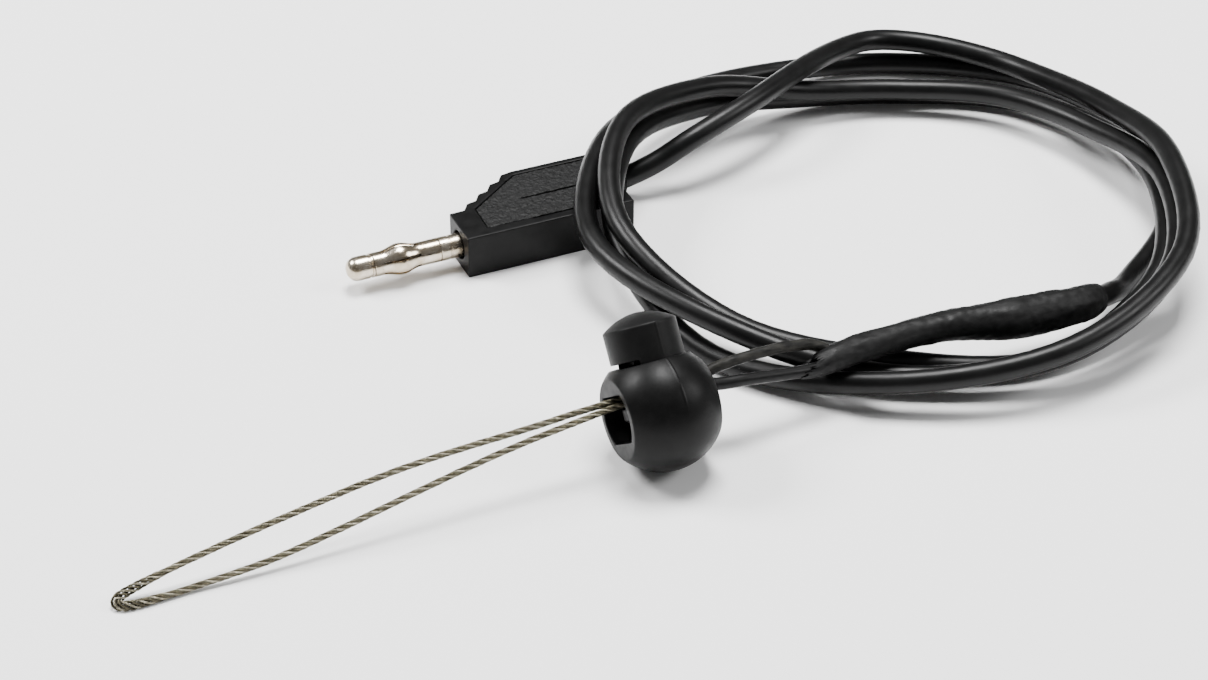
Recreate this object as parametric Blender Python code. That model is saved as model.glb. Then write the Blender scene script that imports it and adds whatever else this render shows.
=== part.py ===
"""ESD bonding strap: a wire-rope lasso with a spring-loaded cord lock, a heat-shrunk splice,
a coiled test lead and a stackable 4 mm lantern plug. Metres, +Z up. +X runs from the lasso's
tip through the lock to the splice, and the floor is Z = 0."""

import math

import bmesh
import bpy
from mathutils import Matrix, Vector

MM = 0.001
GAP = 0.3 * MM

# Wire rope and its two heat-shrunk legs.
ROPE_R = 0.525 * MM
LEG_SLEEVE_R = 0.95 * MM
LEG_SLEEVE_BORE_R = 0.65 * MM

# Cord lock. Its own frame has X through the window and Z up the button, leaned 36.87 degrees.
LOCK_CENTRE = Vector((4.0, -2.0, 9.5)) * MM
LOCK_LEAN = math.atan2(3, 4)
BALL_R = 9.5 * MM
BALL_FACET = 7.2 * MM
BALL_TOP = 7.25 * MM
WINDOW_R = 5.0 * MM
WINDOW_HALF_HEIGHT = 3.6 * MM
BORE_R = 5.8 * MM
BORE_FLOOR = -4.9 * MM
POCKET_R = 3.5 * MM
POCKET_FLOOR = -7.7 * MM
BUTTON_R = 5.65 * MM
BUTTON_FOOT = -0.9 * MM
BUTTON_SHOULDER = 12.9 * MM
BUTTON_DOME = 1.9 * MM
BUTTON_SLOT = (1.2 * MM, 7.7 * MM)
BUTTON_SLOT_WIDTH = 4.6 * MM
BUTTON_RELIEF_X = -1.5 * MM
BUTTON_RELIEF_HALF_WIDTH = 4.7 * MM
BUTTON_RELIEF_TOP = 7.95 * MM
BUTTON_FLAT = 5.15 * MM
SPRING_R = 2.6 * MM
SPRING_WIRE_R = 0.27 * MM
SPRING_TURNS = 4.5

# Splice.
SPLICE_WALL = 0.4 * MM
ROPE_PITCH = 1.6 * MM

# Test lead and its loose coil.
CABLE_R = 1.85 * MM
CORE_R = 0.6 * MM
COIL_CENTRE = Vector((69.0, 43.0, 0.0)) * MM
COIL_START = math.radians(-30)
COIL_STEP = math.radians(30)

# Plug. Its own frame starts at the lower near front corner, X towards the cable, Z up.
PLUG_CORNER = Vector((-2.8, 55.2, 0.0)) * MM
PLUG_TURN = math.radians(-1.5)
PLUG_LENGTH = 29.3 * MM
PLUG_HEIGHT = 7.5 * MM
PLUG_WIDTH = 16.4 * MM
PLUG_NOSE_WIDTH = 8.4 * MM
PIN_Y = 4.4 * MM
PIN_Z = 3.8 * MM
PIN_R = 2.0 * MM
PIN_REACH = 19.4 * MM
CABLE_Y = 12.3 * MM
CABLE_Z = 3.8 * MM
PANEL_FLOOR = 6.5 * MM
SOCKET_BORE_R = 2.02 * MM

# Route of each rope leg, in millimetres, from the ferrule to the lasso's tip.
UPPER_LEG = [
    (55.0, 0.3, 8.9), (48.7, 0.6, 9.0), (39.2, 0.3, 9.2), (36.5, 0.1, 9.2), (34.6, 0.35, 9.3),
    (33.0, 1.2, 9.95), (31.2, 1.8, 10.7), (29.0, 1.7, 11.3), (25.1, 1.3, 12.1),
    (19.6, 0.8, 12.5), (15.0, 0.4, 12.5), (13.0, 0.25, 12.2), (11.2, 0.1, 11.65),
    (4.0, 0.1, 11.45), (-3.2, 0.1, 11.45), (-9.0, 0.15, 11.25), (-16.3, 0.3, 10.7),
    (-29.7, 0.95, 9.7), (-40.5, 1.15, 8.55), (-51.2, 1.0, 6.9), (-62.0, 0.75, 5.15),
    (-72.7, 0.35, 3.2), (-78.1, 0.25, 1.8), (-80.4, 0.0, 1.1),
]
TIP = [(-81.2, -0.7, 0.8), (-80.7, -1.5, 0.65)]
LOWER_LEG = [
    (55.0, 0.3, 7.5), (48.7, 0.6, 7.8), (39.2, 0.3, 8.0), (36.5, 0.0, 7.9), (34.6, -0.3, 7.9),
    (31.5, -0.9, 8.1), (28.0, -1.2, 8.5), (23.9, -1.3, 9.15), (18.5, -1.4, 10.05),
    (15.0, -1.25, 10.35), (13.0, -1.1, 10.65), (11.2, -0.95, 11.0), (4.0, -0.95, 11.25),
    (-3.2, -0.95, 11.15), (-9.0, -0.95, 10.45), (-16.7, -0.9, 9.4), (-25.0, -1.0, 8.0),
    (-36.2, -1.35, 5.85), (-47.2, -1.8, 3.7), (-58.0, -2.1, 1.85), (-68.5, -1.95, 0.85),
    (-76.2, -2.05, 0.65), (-79.2, -1.9, 0.6),
]

# Middle line of the splice, in millimetres, and its outer radius at each point.
SPLICE_ROUTE = [
    (34.5, -0.2, 8.6), (36.8, 0.1, 8.6), (39.2, 0.3, 8.6), (48.7, 0.6, 8.4), (55.0, 0.3, 8.2),
    (59.5, -0.4, 7.95), (64.0, -1.4, 7.8), (68.0, -1.8, 7.5), (72.0, -2.0, 7.4),
    (75.1, -2.0, 7.22),
]
SPLICE_RADII = [2.15, 2.2, 2.25, 2.3, 2.5, 2.75, 3.15, 3.2, 3.15, 2.95]
COLLAR_ROUTE = [(75.4, -2.0, 7.2), (77.0, -1.8, 7.05), (79.2, -1.1, 6.65), (81.2, -0.2, 6.05)]
COLLAR_RADII = [2.75, 2.9, 2.7, 2.3]

# The lead leaves the collar, runs under the coil, and after the last turn drops to the plug.
LEAD_IN = [
    (77.7, -1.6, 6.95), (79.2, -1.1, 6.65), (81.2, -0.2, 6.05), (85.5, 2.2, 4.3), (92.4, 7.0, 2.1),
]
COIL_STATIONS = [
    (45.5, 2.0), (48.5, 2.5), (48.5, 2.5), (46.5, 2.0), (44.5, 3.5), (45.0, 7.0),
    (49.0, 10.5), (55.0, 9.5), (52.9, 7.6), (51.4, 3.4), (53.3, 5.1), (50.6, 7.9),
    (44.0, 10.0), (38.0, 7.0), (35.5, 5.5), (33.0, 4.5), (33.0, 6.0), (38.0, 11.5),
    (45.5, 15.0), (50.5, 11.5), (49.0, 5.5), (47.5, 3.5), (49.7, 2.0), (48.0, 4.8),
    (44.0, 6.0), (43.0, 4.0), (40.0, 2.5), (36.0, 2.0), (36.0, 3.0), (39.5, 7.0),
    (45.0, 11.0), (50.5, 7.5), (54.6, 2.4), (56.0, 5.2), (56.2, 8.5), (52.5, 12.0),
    (44.5, 14.0), (41.0, 10.5), (44.0, 6.6),
]
LEAD_OUT = [
    (101.3, 75.3, 6.3), (94.5, 81.7, 6.6), (87.2, 84.2, 7.4), (79.4, 82.0, 8.7), (69.0, 76.4, 10.4),
    (55.0, 69.0, 10.9), (43.5, 66.0, 9.0), (36.5, 66.1, 5.9), (31.5, 66.5, 4.2),
]


# Small tools.

def clear_scene():
    for thing in list(bpy.data.objects):
        bpy.data.objects.remove(thing, do_unlink=True)


def material(name, colour, roughness, metallic=0.0):
    """A Principled material with one colour."""
    made = bpy.data.materials.new(name)
    made.use_nodes = True
    shader = made.node_tree.nodes["Principled BSDF"]
    shader.inputs["Base Color"].default_value = (*colour, 1.0)
    shader.inputs["Roughness"].default_value = roughness
    shader.inputs["Metallic"].default_value = metallic
    made.diffuse_color = (*colour, 1.0)
    return made


def empty(name, place, turn=(0, 0, 0)):
    frame = bpy.data.objects.new(name, None)
    frame.location = place
    frame.rotation_euler = turn
    bpy.context.collection.objects.link(frame)
    return frame


def add(name, bm, finish, parent=None, place=(0, 0, 0), sharp=35):
    """Turn a bmesh into a named object with smooth shading between its sharp edges."""
    bmesh.ops.recalc_face_normals(bm, faces=bm.faces)
    mesh = bpy.data.meshes.new(name)
    bm.to_mesh(mesh)
    bm.free()
    mesh.shade_smooth()
    mesh.set_sharp_from_angle(angle=math.radians(sharp))
    thing = bpy.data.objects.new(name, mesh)
    thing.data.materials.append(finish)
    thing.location = place
    thing.parent = parent
    bpy.context.collection.objects.link(thing)
    return thing


def cut(thing, cutter):
    """Take the cutter's shape out of a piece."""
    cutter.hide_render = True
    cutter.display_type = "WIRE"
    step = thing.modifiers.new(cutter.name, "BOOLEAN")
    step.operation = "DIFFERENCE"
    step.solver = "EXACT"
    step.object = cutter


def turned(profile, sides=32):
    """A body turned about X from (x, radius) points. It is closed by the axis or on itself."""
    bm = bmesh.new()
    rings = []
    for x, radius in profile:
        if radius < 1e-9:
            rings.append([bm.verts.new((x, 0, 0))])
            continue
        turns = [2 * math.pi * k / sides for k in range(sides)]
        rings.append([bm.verts.new((x, radius * math.cos(a), radius * math.sin(a))) for a in turns])
    pairs = list(zip(rings, rings[1:]))
    if len(rings[0]) > 1:
        pairs.append((rings[-1], rings[0]))
    for first, second in pairs:
        join_rings(bm, first, second)
    return bm


def join_rings(bm, first, second):
    """Faces between two rings, either of which may be a single point on the axis."""
    count = max(len(first), len(second))
    for k in range(count):
        after = (k + 1) % count
        corners = [first[k % len(first)], first[after % len(first)]]
        corners += [second[after % len(second)], second[k % len(second)]]
        bm.faces.new(list(dict.fromkeys(corners)))


def stand_up(bm):
    """Turn a body made about X so that its +X end points along +Z."""
    bmesh.ops.rotate(bm, verts=bm.verts, matrix=Matrix.Rotation(-math.pi / 2, 3, "Y"))
    return bm


def box(low, high):
    bm = bmesh.new()
    bmesh.ops.create_cube(bm, size=1.0)
    for vert in bm.verts:
        vert.co = Vector(high[k] if vert.co[k] > 0 else low[k] for k in range(3))
    return bm


def extruded(outline, low, high):
    """A closed outline in XY, drawn up from one height to another."""
    bm = bmesh.new()
    foot = [bm.verts.new((x, y, low)) for x, y in outline]
    face = bm.faces.new(foot)
    risen = bmesh.ops.extrude_face_region(bm, geom=[face])["geom"]
    top = [part for part in risen if isinstance(part, bmesh.types.BMVert)]
    bmesh.ops.translate(bm, verts=top, vec=(0, 0, high - low))
    return bm


def smooth_at(points, places):
    """Points of the smooth curve through the given points, at places counted in points."""
    knots = [Vector(p) for p in points]
    knots = [2 * knots[0] - knots[1]] + knots + [2 * knots[-1] - knots[-2]]
    line = []
    for place in places:
        first = min(int(place + 1e-6), len(points) - 2)
        t = place - first
        a, b, c, d = knots[first:first + 4]
        bend = (2 * b) + (c - a) * t + (2 * a - 5 * b + 4 * c - d) * t * t
        line.append((bend + (3 * b - a - 3 * c + d) * t ** 3) / 2)
    return line


def smooth_line(points, steps):
    """The smooth curve through the given points, with the same number of steps in each span."""
    count = (len(points) - 1) * steps
    return smooth_at(points, [k / steps for k in range(count + 1)])


def in_metres(points):
    return [Vector(p) * MM for p in points]


def swept(line, radii, bores=None, sides=16):
    """A tube or rod along a line. With bores it is hollow and open at both ends."""
    bm = bmesh.new()
    outer = rings_along(bm, line, radii, sides)
    if bores is None:
        bm.faces.new(outer[0])
        bm.faces.new(outer[-1])
        loops = outer
    else:
        loops = outer + rings_along(bm, line, bores, sides)[::-1]
        loops.append(loops[0])
    for first, second in zip(loops, loops[1:]):
        join_rings(bm, first, second)
    return bm


def rings_along(bm, line, radii, sides):
    """Rings of points square to a line, carried along it without twist."""
    rings = []
    side = None
    for k, spot in enumerate(line):
        ahead = (line[min(k + 1, len(line) - 1)] - line[max(k - 1, 0)]).normalized()
        side = ahead.orthogonal() if side is None else side - ahead * side.dot(ahead)
        side.normalize()
        up = ahead.cross(side)
        turns = [2 * math.pi * n / sides for n in range(sides)]
        ring = [spot + (side * math.cos(a) + up * math.sin(a)) * radii[k] for a in turns]
        rings.append([bm.verts.new(p) for p in ring])
    return rings


def soft_tube(name, line, radius, finish):
    """A cable or rope as a bevelled poly curve with filled ends."""
    data = bpy.data.curves.new(name, "CURVE")
    data.dimensions = "3D"
    data.bevel_depth = radius
    data.bevel_resolution = 2
    data.use_fill_caps = True
    spline = data.splines.new("POLY")
    spline.points.add(len(line) - 1)
    for point, place in zip(spline.points, line):
        point.co = (*place, 1.0)
    thing = bpy.data.objects.new(name, data)
    data.materials.append(finish)
    bpy.context.collection.objects.link(thing)
    return thing


def between(line, start, end):
    """The part of a line whose x lies between two places, going the way the line goes."""
    return [p for p in line if start <= p.x <= end]


# Lasso and its legs.

def rope_line(steps=4):
    route = UPPER_LEG + TIP + LOWER_LEG[::-1]
    return smooth_line(in_metres(route), steps)


def make_rope(finish):
    soft_tube("wire_rope_loop", rope_line(3), ROPE_R, finish)


def make_leg_sleeves(finish):
    for name, leg in (("leg_sleeve_upper", UPPER_LEG), ("leg_sleeve_lower", LOWER_LEG)):
        line = between(smooth_line(in_metres(leg), 3), 12.4 * MM, 33.6 * MM)
        count = len(line)
        bm = swept(line, [LEG_SLEEVE_R] * count, [LEG_SLEEVE_BORE_R] * count, 12)
        add(name, bm, finish)


# Cord lock.

def make_lock_body(frame, finish):
    bm = bmesh.new()
    bmesh.ops.create_uvsphere(bm, u_segments=48, v_segments=28, radius=BALL_R)
    body = add("lock_body", bm, finish, frame)
    far = 2 * BALL_R
    for name, low, high in (
        ("cut_front_facet", (-far, -far, -far), (-BALL_FACET, far, far)),
        ("cut_rear_facet", (BALL_FACET, -far, -far), (far, far, far)),
        ("cut_ball_top", (-far, -far, BALL_TOP), (far, far, far)),
    ):
        cut(body, add(name, box(low, high), finish, frame))
    bore = turned([(BORE_FLOOR, 0), (BORE_FLOOR, BORE_R), (far, BORE_R), (far, 0)], 48)
    cut(body, add("cut_bore", stand_up(bore), finish, frame))
    pocket = turned([(POCKET_FLOOR, 0), (POCKET_FLOOR, POCKET_R), (0, POCKET_R), (0, 0)], 32)
    cut(body, add("cut_pocket", stand_up(pocket), finish, frame))
    cut(body, add("cut_window", window_block(far), finish, frame))


def window_block(far):
    """A bar through the ball along X: a round hole with a flat roof and floor."""
    corner = math.asin(WINDOW_HALF_HEIGHT / WINDOW_R)
    outline = []
    steps = 8
    for middle in (0.0, math.pi):
        for k in range(steps + 1):
            turn = middle - corner + 2 * corner * k / steps
            outline.append((WINDOW_R * math.cos(turn), WINDOW_R * math.sin(turn)))
    bm = extruded(outline, -far, far)
    axes = Matrix(((0, 0, 1), (1, 0, 0), (0, 1, 0)))
    bmesh.ops.transform(bm, matrix=axes.to_4x4(), verts=bm.verts)
    return bm


def make_button(frame, finish):
    shoulder = 0.5 * MM
    profile = [(BUTTON_FOOT, 0), (BUTTON_FOOT, BUTTON_R - shoulder)]
    profile += [(BUTTON_FOOT + shoulder, BUTTON_R), (BUTTON_SHOULDER - 0.2 * MM, BUTTON_R)]
    steps = 7
    for k in range(steps + 1):
        share = 1 - k / steps
        rise = BUTTON_SHOULDER + BUTTON_DOME * (1 - share * share)
        profile.append((rise, (BUTTON_R - 0.15 * MM) * share))
    button = add("lock_button", stand_up(turned(profile, 48)), finish, frame)
    half = BUTTON_SLOT_WIDTH / 2
    far = 2 * BALL_R
    slot = box((-far, -half, BUTTON_SLOT[0]), (far, half, BUTTON_SLOT[1]))
    cut(button, add("cut_button_slot", slot, finish, frame))
    wide = BUTTON_RELIEF_HALF_WIDTH
    relief = box((-far, -wide, BALL_TOP - 0.1 * MM), (BUTTON_RELIEF_X, wide, BUTTON_RELIEF_TOP))
    cut(button, add("cut_button_relief", relief, finish, frame))
    flat = box((BUTTON_FLAT, -far, BALL_TOP + 0.9 * MM), (far, far, BUTTON_SHOULDER - 0.3 * MM))
    cut(button, add("cut_button_flat", flat, finish, frame))


def make_spring(frame, finish):
    foot = POCKET_FLOOR + GAP + SPRING_WIRE_R
    head = BUTTON_FOOT - GAP - SPRING_WIRE_R
    per_turn = 14
    count = round(SPRING_TURNS * per_turn)
    line = []
    for k in range(count + 1):
        turn = 2 * math.pi * k / per_turn
        share = min(max((k - per_turn) / (count - 2 * per_turn), 0.0), 1.0)
        first_turn = 2.3 * SPRING_WIRE_R * min(k / per_turn, 1.0)
        last_turn = 2.3 * SPRING_WIRE_R * max(k - count + per_turn, 0) / per_turn
        middle = (head - foot - 4.6 * SPRING_WIRE_R) * share
        height = foot + first_turn + middle + last_turn
        line.append(Vector((SPRING_R * math.cos(turn), SPRING_R * math.sin(turn), height)))
    bm = swept(line, [SPRING_WIRE_R] * len(line), sides=7)
    add("lock_spring", bm, finish, frame)


# Splice. Every hidden piece sits on the splice's middle line.

def splice_line(start, end, steps=6):
    """The splice's middle line between two places along x, with both ends exact."""
    whole = smooth_line(in_metres(SPLICE_ROUTE + COLLAR_ROUTE[1:]), steps)
    ends = [place_at(whole, x) for x in (start, end)]
    inside = [p for p in whole if start + 0.4 * MM < p.x < end - 0.4 * MM]
    return [ends[0]] + inside + [ends[1]]


def place_at(line, x):
    """The point of a line at one x."""
    for first, second in zip(line, line[1:]):
        if first.x <= x <= second.x:
            return first.lerp(second, (x - first.x) / (second.x - first.x))
    return line[-1].copy()


def make_splice_sleeves(finish):
    for name, route, radii in (
        ("splice_sleeve", SPLICE_ROUTE, SPLICE_RADII),
        ("splice_end_collar", COLLAR_ROUTE, COLLAR_RADII),
    ):
        line = smooth_line(in_metres(route), 4)
        sizes = [v.x for v in smooth_line([(r * MM, 0, 0) for r in radii], 4)]
        bores = [size - SPLICE_WALL for size in sizes]
        if name == "splice_end_collar":
            bores = [CABLE_R + 0.12 * MM] * len(sizes)
        add(name, swept(line, sizes, bores, 20), finish)


def make_splice_insides(finishes):
    """Ferrules, resistor and bare core, from the rope's side to the cable's."""
    # Each tube: start and end along x, outer radius and bore radius, in millimetres.
    tubes = (
        ("rope_ferrule", 53.0, 58.5, 1.95, 1.62, "brass"),
        ("resistor_sleeve", 61.5, 70.5, 1.75, 1.45, "shrink"),
        ("cable_ferrule", 71.5, 75.5, 1.25, 0.85, "brass"),
    )
    for name, start, end, radius, bore, finish in tubes:
        line = splice_line(start * MM, end * MM)
        count = len(line)
        bm = swept(line, [radius * MM] * count, [bore * MM] * count, 16)
        add(name, bm, finishes[finish])
    # Each rod: start and end along x and radius, in millimetres.
    rods = (
        ("resistor_lead_rope_side", 56.0, 62.9, 0.3, "tinned"),
        ("resistor_lead_cable_side", 69.2, 73.2, 0.3, "tinned"),
        ("cable_core_splice", 73.5, 77.1, 0.6, "copper"),
    )
    for name, start, end, radius, finish in rods:
        line = splice_line(start * MM, end * MM)
        add(name, swept(line, [radius * MM] * len(line), sides=10), finishes[finish])
    line = splice_line(63.2 * MM, 68.9 * MM)
    sizes = [1.2 * MM if k in (0, len(line) - 1) else 1.05 * MM for k in range(len(line))]
    add("safety_resistor", swept(line, sizes, sides=16), finishes["ceramic"])


# Test lead.

def coil_points():
    """The coil's points, one for each 30 degrees about its centre."""
    points = []
    for k, (radius, height) in enumerate(COIL_STATIONS):
        turn = COIL_START + k * COIL_STEP
        spot = Vector((math.cos(turn), math.sin(turn), 0.0)) * radius
        spot.z = height
        points.append(COIL_CENTRE + spot * MM)
    return points


def plug_point(x, y, z):
    """A point of the plug's own frame, in the part's frame."""
    return PLUG_CORNER + Matrix.Rotation(PLUG_TURN, 3, "Z") @ Vector((x, y, z))


def make_cable(finish):
    """The whole lead as one tube. Its points have the same angles on every turn of the coil."""
    mouth = [plug_point(x, CABLE_Y, CABLE_Z) for x in (PLUG_LENGTH + 1.5 * MM, 22.0 * MM)]
    route = in_metres(LEAD_IN) + coil_points() + in_metres(LEAD_OUT) + mouth
    start = len(LEAD_IN)
    chords = int(1.5 * (len(COIL_STATIONS) - 2.5))
    places = list(range(start + 1)) + [start + 0.5 + k * 2 / 3 for k in range(chords + 1)]
    last = len(route) - 1
    halves = int(2 * (last - places[-1]))
    places += [last - k / 2 for k in range(halves - 1, -1, -1)]
    soft_tube("cable", smooth_at(route, places), CABLE_R, finish)


# Plug.

def housing_outline():
    """The housing seen from above: straight near side, stepped grip on the far front."""
    outline = [(0.0, 0.0), (PLUG_LENGTH, 0.0), (PLUG_LENGTH, PLUG_WIDTH)]
    steps = 4
    start = Vector((2.6 * MM, PLUG_NOSE_WIDTH))
    end = Vector((13.8 * MM, PLUG_WIDTH))
    for k in range(steps, 0, -1):
        top = start.lerp(end, k / steps)
        foot = start.lerp(end, (k - 1) / steps)
        outline.append((top.x, top.y))
        outline.append((foot.x + 1.1 * MM, top.y - 0.35 * MM))
        outline.append((foot.x + 0.35 * MM, foot.y + 0.55 * MM))
    outline.append((start.x, PLUG_NOSE_WIDTH))
    outline.append((0.0, PLUG_NOSE_WIDTH))
    return outline


def panel_outline(inset=0.0):
    """The recess in the housing's top, which the cover fills."""
    front = 4.2 * MM + inset
    near = 2.0 * MM + inset
    rear = PLUG_LENGTH - 2.2 * MM - inset
    far = PLUG_WIDTH - 1.2 * MM - inset
    return [
        (front, near), (rear, near), (rear, far), (14.0 * MM, far),
        (front + 0.2 * MM, PLUG_NOSE_WIDTH - 0.3 * MM - inset),
    ]


def make_housing(frame, finish):
    body = add("plug_housing", extruded(housing_outline(), 0.0, PLUG_HEIGHT), finish, frame)
    edge = body.modifiers.new("edges", "BEVEL")
    edge.width = 0.35 * MM
    edge.segments = 2
    edge.limit_method = "ANGLE"
    edge.angle_limit = math.radians(50)
    far = 2 * PLUG_LENGTH
    recess = extruded(panel_outline(), PANEL_FLOOR, 2 * PLUG_HEIGHT)
    cut(body, add("cut_panel", recess, finish, frame))
    cavity = box((12.0 * MM, 1.7 * MM, 1.2 * MM), (20.4 * MM, 14.1 * MM, 2 * PLUG_HEIGHT))
    cut(body, add("cut_cavity", cavity, finish, frame))
    for name, start, end, radius, y, z in (
        ("cut_pin_bore", -5 * MM, 13 * MM, 2.45 * MM, PIN_Y, PIN_Z),
        ("cut_socket_bore", 20 * MM, far, 2.55 * MM, PIN_Y, PIN_Z),
        ("cut_cable_bore", 20 * MM, far, CABLE_R + 0.15 * MM, CABLE_Y, CABLE_Z),
    ):
        bar = turned([(start, 0), (start, radius), (end, radius), (end, 0)], 28)
        cut(body, add(name, bar, finish, frame, (0, y, z)))


def make_cover(frame, finish):
    """The grained cover of the housing's recess, with a shallow slot along it."""
    low = PANEL_FLOOR + 0.1 * MM
    cover = add("plug_cover", extruded(panel_outline(0.12 * MM), low, 7.3 * MM), finish, frame)
    slot = box((12.5 * MM, 8.0 * MM, 6.95 * MM), (25.0 * MM, 8.4 * MM, 2 * PLUG_HEIGHT))
    cut(cover, add("cut_cover_slot", slot, finish, frame))


def make_contact_block(frame, finish):
    bar = box((12.3 * MM, 2.2 * MM, 1.6 * MM), (20.0 * MM, 13.8 * MM, 6.0 * MM))
    block = add("contact_block", bar, finish, frame)
    pin_hole = turned([(5 * MM, 0), (5 * MM, 1.6 * MM), (30 * MM, 1.6 * MM), (30 * MM, 0)], 24)
    cut(block, add("cut_block_pin", pin_hole, finish, frame, (0, PIN_Y, PIN_Z)))
    core_hole = turned([(12.9 * MM, 0), (12.9 * MM, 0.9 * MM), (30 * MM, 0.9 * MM), (30 * MM, 0)], 16)
    cut(block, add("cut_block_core", core_hole, finish, frame, (0, CABLE_Y, CABLE_Z)))
    screw_hole = turned([(CABLE_Z, 0), (CABLE_Z, 1.35 * MM), (9 * MM, 1.35 * MM), (9 * MM, 0)], 20)
    cut(block, add("cut_block_screw", stand_up(screw_hole), finish, frame, (15 * MM, CABLE_Y, 0)))


def make_clamp_screw(frame, finish):
    """The grub screw that presses on the bare core, with its driver slot."""
    foot = CABLE_Z + CORE_R + 0.1 * MM
    head = 5.9 * MM
    profile = [(foot, 0), (foot, 0.9 * MM), (foot + 0.3 * MM, 1.2 * MM), (head, 1.2 * MM), (head, 0)]
    screw = add("clamp_screw", stand_up(turned(profile, 20)), finish, frame, (15 * MM, CABLE_Y, 0))
    slot = box((13 * MM, CABLE_Y - 0.2 * MM, head - 0.5 * MM), (17 * MM, CABLE_Y + 0.2 * MM, 2 * head))
    cut(screw, add("cut_screw_slot", slot, finish, frame))


def make_pin(frame, finish):
    """The turned pin: round nose, groove, neck for the cage, collar, and shank in the block."""
    tip = -PIN_REACH
    nose = 1.7 * MM
    steps = 6
    profile = [(tip, 0)]
    for k in range(1, steps + 1):
        turn = math.pi / 2 * k / steps
        across = 0.3 * MM + (PIN_R - 0.3 * MM) * math.sin(turn)
        profile.append((tip + nose * (1 - math.cos(turn)), across))
    groove = tip + 3.5 * MM
    profile += [(groove, PIN_R), (groove + 0.1 * MM, PIN_R - 0.15 * MM)]
    profile += [(groove + 0.4 * MM, PIN_R - 0.15 * MM), (groove + 0.5 * MM, PIN_R)]
    neck = (tip + 4.3 * MM, -3.6 * MM)
    profile += [(neck[0], PIN_R), (neck[0], 1.25 * MM), (neck[1], 1.25 * MM), (neck[1], PIN_R)]
    profile += [(3.2 * MM, PIN_R), (3.2 * MM, 1.5 * MM), (17 * MM, 1.5 * MM), (17 * MM, 0)]
    add("pin_core", turned(profile, 32), finish, frame, (0, PIN_Y, PIN_Z))


def make_cage(frame, finish):
    """The lantern cage: two rings joined by leaves that bow outwards."""
    start = -PIN_REACH + 4.4 * MM
    end = -3.7 * MM
    wall = 0.28 * MM
    ring = 1.5 * MM
    bow = 0.65 * MM
    steps = 12
    outer = []
    for k in range(steps + 1):
        share = k / steps
        rise = bow * math.sin(math.pi * share) ** 2
        outer.append((start + ring + (end - start - ring - 3.4 * MM) * share, PIN_R + rise))
    outer = [(start, PIN_R)] + outer + [(end, PIN_R)]
    inner = [(x, radius - wall) for x, radius in outer[::-1]]
    cage = add("spring_cage", turned(outer + inner, 48), finish, frame, (0, PIN_Y, PIN_Z))
    leaves = 6
    low = start + ring + 0.4 * MM
    high = end - 3.8 * MM
    for k in range(leaves // 2):
        slit = box((low, -5 * MM, -0.3 * MM), (high, 5 * MM, 0.3 * MM))
        turn = Matrix.Rotation(math.pi * (k + 0.5) / (leaves // 2), 3, "X")
        bmesh.ops.rotate(slit, verts=slit.verts, matrix=turn)
        cut(cage, add(f"cut_slit_{k}", slit, finish, frame, (0, PIN_Y, PIN_Z)))


def make_socket(frame, finish):
    """The rear socket tube, open to the rear, where another plug stacks."""
    start, end = 20.3 * MM, PLUG_LENGTH - 0.4 * MM
    wall = 0.4 * MM
    outer = SOCKET_BORE_R + wall
    profile = [(start, outer), (end, outer), (end, SOCKET_BORE_R), (start, SOCKET_BORE_R)]
    add("stacking_socket", turned(profile, 32), finish, frame, (0, PIN_Y, PIN_Z))


def make_strain_relief(frame, finish):
    """The short tapered collar round the cable at the housing's rear."""
    start = PLUG_LENGTH + 0.15 * MM
    end = start + 3.0 * MM
    bore = CABLE_R + 0.15 * MM
    profile = [(start, 3.1 * MM), (start + 0.8 * MM, 3.1 * MM), (end, 2.5 * MM), (end, bore)]
    profile += [(start, bore)]
    add("strain_relief", turned(profile, 28), finish, frame, (0, CABLE_Y, CABLE_Z))


def make_plug_core(frame, finish):
    """The stripped core between the clamp screw and the cable's end."""
    start, end = 13.3 * MM, 21.7 * MM
    profile = [(start, 0), (start, CORE_R), (end, CORE_R), (end, 0)]
    add("cable_core_plug", turned(profile, 12), finish, frame, (0, CABLE_Y, CABLE_Z))


def build():
    clear_scene()
    steel = material("rope_steel", (0.42, 0.41, 0.36), 0.38, 1.0)
    shrink = material("heat_shrink", (0.018, 0.018, 0.019), 0.55)
    lock_black = material("lock_plastic", (0.012, 0.012, 0.013), 0.42)
    spring_steel = material("spring_steel", (0.55, 0.55, 0.55), 0.3, 1.0)
    brass = material("brass", (0.78, 0.6, 0.3), 0.35, 1.0)
    tinned = material("tinned_copper", (0.7, 0.68, 0.65), 0.35, 1.0)
    copper = material("bare_copper", (0.8, 0.45, 0.3), 0.35, 1.0)
    ceramic = material("resistor_coat", (0.55, 0.62, 0.66), 0.4)
    jacket = material("cable_jacket", (0.014, 0.014, 0.015), 0.35)
    plug_black = material("plug_plastic", (0.012, 0.012, 0.014), 0.5)
    grained = material("grained_plastic", (0.016, 0.016, 0.018), 0.65)
    nickel = material("nickel_plate", (0.72, 0.68, 0.62), 0.22, 1.0)

    make_rope(steel)
    make_leg_sleeves(shrink)
    lock_frame = empty("lock_frame", LOCK_CENTRE, (-LOCK_LEAN, 0, 0))
    make_lock_body(lock_frame, lock_black)
    make_button(lock_frame, lock_black)
    make_spring(lock_frame, spring_steel)

    make_splice_sleeves(shrink)
    insides = {"brass": brass, "shrink": shrink, "tinned": tinned, "copper": copper, "ceramic": ceramic}
    make_splice_insides(insides)
    make_cable(jacket)

    plug_frame = empty("plug_frame", PLUG_CORNER, (0, 0, PLUG_TURN))
    make_housing(plug_frame, plug_black)
    make_cover(plug_frame, grained)
    make_contact_block(plug_frame, brass)
    make_clamp_screw(plug_frame, spring_steel)
    make_pin(plug_frame, nickel)
    make_cage(plug_frame, nickel)
    make_socket(plug_frame, nickel)
    make_strain_relief(plug_frame, plug_black)
    make_plug_core(plug_frame, copper)


build()
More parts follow.
